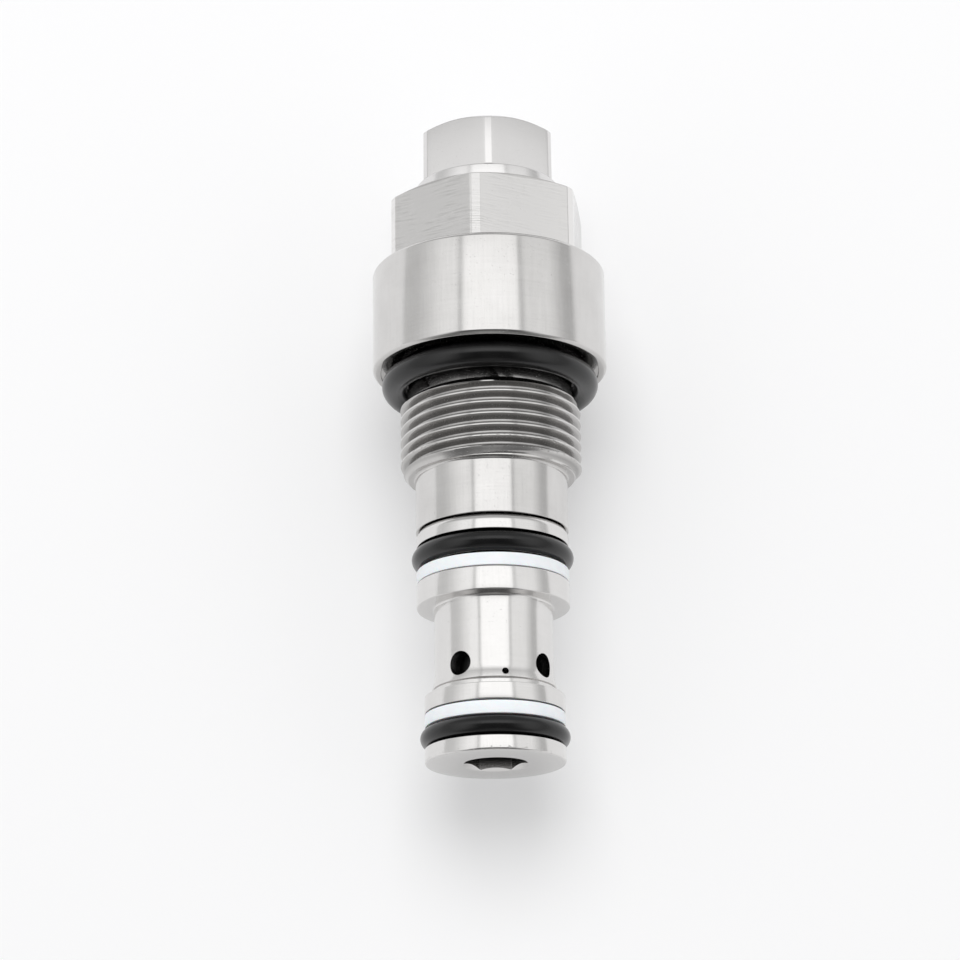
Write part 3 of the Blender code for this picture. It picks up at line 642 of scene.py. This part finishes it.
def moulded_rubber():
    """Soft black rubber with a satin bloom, fine grain and a little dust."""
    material = bpy.data.materials.new("black_rubber")
    material.use_nodes = True
    tree = material.node_tree
    surface = tree.nodes["Principled BSDF"]
    place = own_millimetres(tree)
    grain = noise(tree, place, 9.0, 3.0, 0.6)
    bloom = noise(tree, place, 0.35, 2.0)
    dust = fade(noise(tree, place, 3.4, 1.0), 0.72, 0.80)
    share = (bloom - 0.35) * 0.9 + (grain - 0.5) * 0.5 + dust * 0.6
    colour = tint(tree, share, (0.002, 0.002, 0.0022), (0.009, 0.0088, 0.0088))
    tree.links.new(colour.socket, surface.inputs["Base Color"])
    gloss = 0.22 + (bloom - 0.5) * 0.12 + (grain - 0.5) * 0.10 + dust * 0.2
    tree.links.new(gloss.socket, surface.inputs["Roughness"])
    bump = node(tree, "ShaderNodeBump", inputs={"Strength": 0.35, "Distance": 0.012 * MM, "Height": grain})
    tree.links.new(bump.socket, surface.inputs["Normal"])
    surface.inputs["Specular IOR Level"].default_value = 0.5
    return material


rubber = moulded_rubber()
FLASH_RIDGE = 0.012
RUBBER_INSET = 0.02


def o_ring(node_name, body, middle, station, thickness, columns=144, around=28):
    """A round rubber section, turned at a middle radius, with a flash ridge inside and out."""
    outline = []
    for i in range(around):
        angle = math.tau * i / around
        ridge = FLASH_RIDGE if i in (0, around // 2) else 0
        reach = thickness / 2 - RUBBER_INSET + ridge
        outline.append((middle + reach * math.cos(angle), station + reach * math.sin(angle)))
    bm = bmesh.new()
    rings = [[bm.verts.new(on_axis(r, a, s)) for a in even_angles(columns)] for r, s in outline]
    for lower, upper in zip(rings, rings[1:] + rings[:1]):
        join_rings(bm, lower, upper)
    stands_for(piece_from("fine_" + node_name, bm, rubber, sharp=60), node_name, body)


o_ring("collar_o_ring", "valve_body", 17.7, 71.1, 4.6, 192, 32)
o_ring("upper_o_ring", "valve_body", 12.9, 37.7, 3.6, 192, 32)
o_ring("lower_o_ring", "valve_body", 11.65, 4.65, 3.5, 192, 32)
o_ring("sleeve_o_ring", "valve_body", 10.3, 48.4, 1.6)
o_ring("pilot_seat_o_ring", "valve_body", 10.3, 61.5, 1.6)
o_ring("washer_o_ring", "seal_washer", 9.35, 108.45, 1.9)
o_ring("plunger_o_ring", "plunger", 7.45, 92.17, 1.9)

# ---------------------------------------------------------------------------------------------
# Backup rings. White PTFE bands beside the O-rings, which stop pressure from pushing the rubber
# into the gap. They are sliced from tube, so their flanks show faint knife rings.


def sliced_ptfe():
    """Cool white PTFE, waxy and slightly see-through at its edges."""
    material = bpy.data.materials.new("white_backup")
    material.use_nodes = True
    tree = material.node_tree
    surface = tree.nodes["Principled BSDF"]
    place = own_millimetres(tree)
    x, y, z = axes(tree, place)
    cloud = noise(tree, place, 0.5, 2.0)
    slices = node(tree, "ShaderNodeCombineXYZ", inputs={0: x * 0.2, 1: y * 9.0, 2: z * 0.2})
    knife = noise(tree, slices, 1.0, 2.0)
    specks = fade(noise(tree, place, 4.0, 1.0), 0.74, 0.80)
    share = 0.5 + (cloud - 0.5) * 0.8 + (knife - 0.5) * 0.4 - specks * 0.5
    colour = tint(tree, share, (0.80, 0.845, 0.88), (0.94, 0.965, 0.985))
    tree.links.new(colour.socket, surface.inputs["Base Color"])
    gloss = 0.34 + (cloud - 0.5) * 0.12 + (knife - 0.5) * 0.1
    tree.links.new(gloss.socket, surface.inputs["Roughness"])
    bump = node(tree, "ShaderNodeBump", inputs={"Strength": 0.5, "Distance": 0.01 * MM, "Height": knife})
    tree.links.new(bump.socket, surface.inputs["Normal"])
    surface.inputs["Subsurface Weight"].default_value = 0.12
    surface.inputs["Subsurface Scale"].default_value = 0.6 * MM
    return material


ptfe = sliced_ptfe()


def backup_ring(node_name, body, inner, outer, low, high, columns):
    """A flat band with eased edges and a shallow dish towards its O-ring."""
    middle = (inner + outer) / 2
    outline = [
        (inner, low), (outer, low), (outer, (low + high) / 2, 0.3), (outer, high),
        (middle, high - 0.05, 0.3), (inner, high),
    ]
    ring = turned_piece("fine_" + node_name, outline, even_angles(columns), ptfe, 0.16)
    stands_for(ring, node_name, body)


backup_ring("upper_backup_ring", "valve_body", 11.1, 13.8, 32.95, 35.3, 192)
backup_ring("lower_backup_ring", "valve_body", 9.9, 12.56, 6.5, 8.84, 192)
backup_ring("plunger_backup_ring", "plunger", 6.5, 8.38, 93.34, 94.6, 96)

# ---------------------------------------------------------------------------------------------
# Seal washer. A plain turned ring under the lock nut, with a recess that traps an O-ring against
# the adjusting screw so that no oil weeps past its thread.
nut_steel = turned_steel("nut_steel", (0.67, 0.66, 0.655), (0.81, 0.80, 0.795), 0.19, marks=0.6)
washer_outline = [
    (10.5, 106.93), (13.35, 106.93), (13.6, 107.2, 0.15), (13.6, 110.08, 0.08), (13.5, 110.2, 0.05),
    (8.2, 110.2), (8.2, 109.6), (10.5, 109.6),
]
washer = turned_piece("fine_seal_washer", washer_outline, even_angles(180), nut_steel)
stands_for(washer, "seal_washer", "seal_washer")

# ---------------------------------------------------------------------------------------------
# Lock nut. A 24 mm hexagon nut, chamfered on its outer face and flat underneath.
# It jams the adjusting screw once the opening pressure is set.
NUT_FLAT = 12.0
NUT_CORNER = 13.5
NUT_TURN = 1.4
NUT_TOP = 120.9


def nut_outline(angle):
    reach = milled_radius(angle, NUT_TURN, NUT_FLAT, NUT_CORNER)
    top = NUT_TOP - (reach - 11.4) * math.tan(math.radians(30))
    return [
        (8.9, 110.24), (reach - 0.03, 110.24, 0.02), (reach, 110.27, 0.02), (reach, top, 0.16),
        (11.4, NUT_TOP, 0.3), (8.9, NUT_TOP, 0.1), (8.2, NUT_TOP - 0.7, 0.1), (8.2, 110.94, 0.1),
    ]


nut_angles = milled_angles(NUT_TURN, NUT_FLAT, NUT_CORNER, 21)
nut = turned_piece("fine_lock_nut", nut_outline, nut_angles, nut_steel)
stands_for(nut, "lock_nut", "lock_nut")

# ---------------------------------------------------------------------------------------------
# Adjusting screw. An M16 x 1.5 set screw with an 8 mm key socket: each turn moves the plunger
# 1.5 mm and so sets how hard the pilot spring presses.
inner_steel = turned_steel("inner_steel", (0.42, 0.42, 0.42), (0.56, 0.56, 0.555), 0.26, marks=1.2)


def screw_outline(angle):
    plane = 4.0 / math.cos(math.radians(from_flat(angle, 0)))
    wall = (plane + 4.57 - math.hypot(plane - 4.57, 0.04)) / 2
    return [
        (0, 98.12), (6.6, 98.12, 0.2), (7.0, 98.5, 0.2), (7.0, 98.9), (7.0, 121.3), (7.0, 121.8, 0.2),
        (6.6, 122.1, 0.2), (4.8, 122.1, 0.1), (wall, 122.1 - (4.8 - wall) * 0.8, 0.1), (wall, 114.1, 0.1),
        (3.8, 114.1, 0.1), (0, 112.2),
    ]


screw_angles = even_angles(144)
bm = bmesh.new()
turn(bm, lambda angle: screw_outline(angle)[:4], screw_angles, closed=False)
turn(bm, lambda angle: screw_outline(angle)[4:], screw_angles, closed=False)
add_thread(bm, thread, 98.9, 121.3, 7.0, 7.9, 1.5, len(screw_angles))
screw = piece_from("fine_adjusting_screw", bm, inner_steel)
stands_for(screw, "adjusting_screw", "adjusting_screw")

# ---------------------------------------------------------------------------------------------
# Plunger and shim. The hardened plunger slides in the housing under the adjusting screw, sealed by
# its own O-ring, and presses on the pilot spring through a ground shim.
plunger_outline = [
    (0, 83.92), (3.3, 83.92, 0.3), (3.3, 87.42), (8.4, 87.42, 0.2), (8.4, 91.02), (6.3, 91.02, 0.2),
    (6.3, 94.82, 0.2), (8.4, 94.82), (8.4, 97.82, 0.3), (1.2, 97.82), (0, 97.2),
]
plunger = turned_piece("fine_spring_plunger", plunger_outline, even_angles(120), inner_steel, closed=False)
stands_for(plunger, "spring_plunger", "plunger")
shim_outline = [(3.6, 86.13), (6.2, 86.13), (6.2, 87.12), (3.6, 87.12)]
shim = turned_piece("fine_spring_shim", shim_outline, even_angles(96), inner_steel)
stands_for(shim, "spring_shim", "plunger")

# ---------------------------------------------------------------------------------------------
# Pilot stage. The pilot seat is a hardened plug with a small bored orifice, and the pilot poppet's
# cone closes it until the oil pressure lifts it against the pilot spring.
seat_outline = [
    (6.2, 56.0), (11.0, 56.0), (11.0, 60.5), (9.3, 60.5), (9.3, 62.5), (11.0, 62.5), (11.0, 66.0),
    (2.3, 66.0), (1.2, 64.9), (1.2, 60.0), (6.2, 60.0),
]
seat = turned_piece("fine_pilot_seat", seat_outline, even_angles(120), inner_steel)
stands_for(seat, "pilot_seat", "valve_body")
pilot_outline = [
    (0, 64.73), (0.6, 64.73), (2.3, 66.43), (2.3, 68.63), (5.3, 68.63), (5.3, 70.12), (3.3, 70.12),
    (3.3, 74.62, 0.4), (0, 74.62),
]
pilot = turned_piece("fine_pilot_poppet", pilot_outline, even_angles(96), inner_steel, closed=False)
stands_for(pilot, "pilot_poppet", "pilot_poppet")

# ---------------------------------------------------------------------------------------------
# Main poppet. A ground steel cup that closes the sleeve's seat. Its skirt has four narrow grooves
# that keep it centred, and a slotted brass plug in its tip meters the oil to the pilot.
GROOVES = (24.0, 30.0, 36.0, 42.0)


def poppet_outline():
    """From the tip up the grooved skirt, then down inside the cup and the plug's thread."""
    skirt = []
    for station in GROOVES:
        steps = ((7.5, 0), (7.2, 0.1), (7.2, 0.5), (7.5, 0.6))
        skirt += [(radius, station + step, 0.04) for radius, step in steps]
    return [
        (4.08, 9.5), (7.5, 12.92, 0.2), *skirt, (7.5, 47.5, 0.2), (5.8, 47.5), (5.8, 29.5),
        (1.5, 29.5), (1.5, 15.1), (2.7, 15.1), (2.7, 9.5),
    ]


# The poppet is coloured near black, far darker than ground steel: painted shade inside the bore and port
# holes it sits behind.
poppet_in_painted_shade = turned_steel("poppet_in_painted_shade", (0.05, 0.05, 0.05), (0.11, 0.11, 0.112), 0.42, marks=1.4)
poppet = turned_piece("fine_main_poppet", poppet_outline(), even_angles(120), poppet_in_painted_shade)
stands_for(poppet, "main_poppet", "main_poppet")

brass = turned_steel("brass", (0.50, 0.33, 0.12), (0.78, 0.58, 0.28), 0.24)
plug_outline = [(0.5, 9.8), (2.4, 9.8), (2.4, 14.8), (0.5, 14.8)]
plug = turned_piece("fine_orifice_plug", plug_outline, even_angles(72), brass)
bm = bmesh.new()
bmesh.ops.create_cube(bm, size=1)
bmesh.ops.scale(bm, vec=(9 * MM, 1.8 * MM, 0.9 * MM), verts=bm.verts)
bmesh.ops.translate(bm, vec=on_axis(0, 0, 9.8), verts=bm.verts)
slot_bar = piece_from("slot_bar", bm, brass)
slit = plug.modifiers.new("slot", "BOOLEAN")
slit.operation = "DIFFERENCE"
slit.solver = "EXACT"
slit.object = slot_bar
bpy.context.view_layer.update()
graph = bpy.context.evaluated_depsgraph_get()
slotted = bpy.data.meshes.new_from_object(plug.evaluated_get(graph), depsgraph=graph)
plug.modifiers.remove(slit)
plug.data = slotted
bpy.data.objects.remove(slot_bar)
stands_for(plug, "orifice_plug", "main_poppet")

# ---------------------------------------------------------------------------------------------
# Springs. Oil-tempered wire wound cold, with one closed coil at each end ground flat. The main
# spring holds the main poppet down, and the stiffer pilot spring sets the opening pressure.
SPRING_SIZES = {
    "Steps": 40, "Turns": 7.5, "Middle radius": 4.7 * MM, "Wire": 1.6 * MM, "Foot": 0.0, "Top": 1.0,
}
COIL_GAP = 0.3
END_GRIND = 0.25


def spring_tree(material):
    """A line bent into a coil, given its round wire, and ground flat at both ends."""
    tree, size = nodes_for("wound_spring", SPRING_SIZES)
    steps, turns, wire = size["Steps"], size["Turns"], size["Wire"]
    count = turns * steps + 1
    line = node(tree, "GeometryNodeCurvePrimitiveLine")
    line = node(tree, "GeometryNodeResampleCurve", {"mode": "COUNT"}, {"Curve": line, "Count": count})
    turned = node(tree, "GeometryNodeInputIndex") / steps
    closed_pitch = wire + COIL_GAP * MM
    low, high = size["Foot"] + wire * 0.5, size["Top"] - wire * 0.5
    open_pitch = (high - low - 2 * closed_pitch) / (turns - 2)
    middle = turned.math("MINIMUM", turned.math("MAXIMUM", turned - 1, 0.0), turns - 2)
    station = low + (turned - middle) * closed_pitch + middle * open_pitch
    angle = turned * math.tau
    place = node(tree, "ShaderNodeCombineXYZ", inputs={
        0: size["Middle radius"] * angle.math("SINE", angle),
        1: station + NOSE_Y,
        2: size["Middle radius"] * angle.math("COSINE", angle) + AXIS_Z,
    })
    coil = node(tree, "GeometryNodeSetPosition", inputs={"Geometry": line, "Position": place})
    round_wire = {"Resolution": 16, "Radius": wire * 0.5}
    section = node(tree, "GeometryNodeCurvePrimitiveCircle", inputs=round_wire)
    solid = node(tree, "GeometryNodeCurveToMesh", inputs={
        "Curve": coil, "Profile Curve": section, "Fill Caps": True})
    x, y, z = axes(tree, node(tree, "GeometryNodeInputPosition"))
    ground = y.math("MAXIMUM", y, size["Foot"] + NOSE_Y + END_GRIND * MM)
    ground = y.math("MINIMUM", ground, size["Top"] + NOSE_Y - END_GRIND * MM)
    flat = node(tree, "ShaderNodeCombineXYZ", inputs={0: x, 1: ground, 2: z})
    solid = node(tree, "GeometryNodeSetPosition", inputs={"Geometry": solid, "Position": flat})
    close_tree(tree, solid, material)
    return tree


wire_steel = turned_steel("spring_steel", (0.16, 0.16, 0.175), (0.34, 0.34, 0.36), 0.30, marks=1.4)
springs = spring_tree(wire_steel)


def spring(node_name, joint, anchor, keep, **sizes):
    """One spring, wound to its sizes and set in place of its CAD node."""
    mesh = grown_mesh(node_name, springs, {**SPRING_SIZES, **sizes})
    mesh.shade_smooth()
    mesh.set_sharp_from_angle(angle=math.radians(50))
    coil = bpy.data.objects.new("fine_" + node_name, mesh)
    scene.collection.objects.link(coil)
    stands_for(coil, node_name, "valve_body")
    on_axis(0, 0, anchor)
    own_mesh(coil)


spring("main_spring", "main_poppet_slide", 59.7, 0.866, Foot=29.8 * MM, Top=59.7 * MM)
spring(
    "pilot_spring", "adjuster_travel", 70.42, 0.708,
    **{"Turns": 5.5, "Middle radius": 4.65 * MM, "Wire": 1.8 * MM, "Foot": 70.42 * MM, "Top": 85.82 * MM},
)
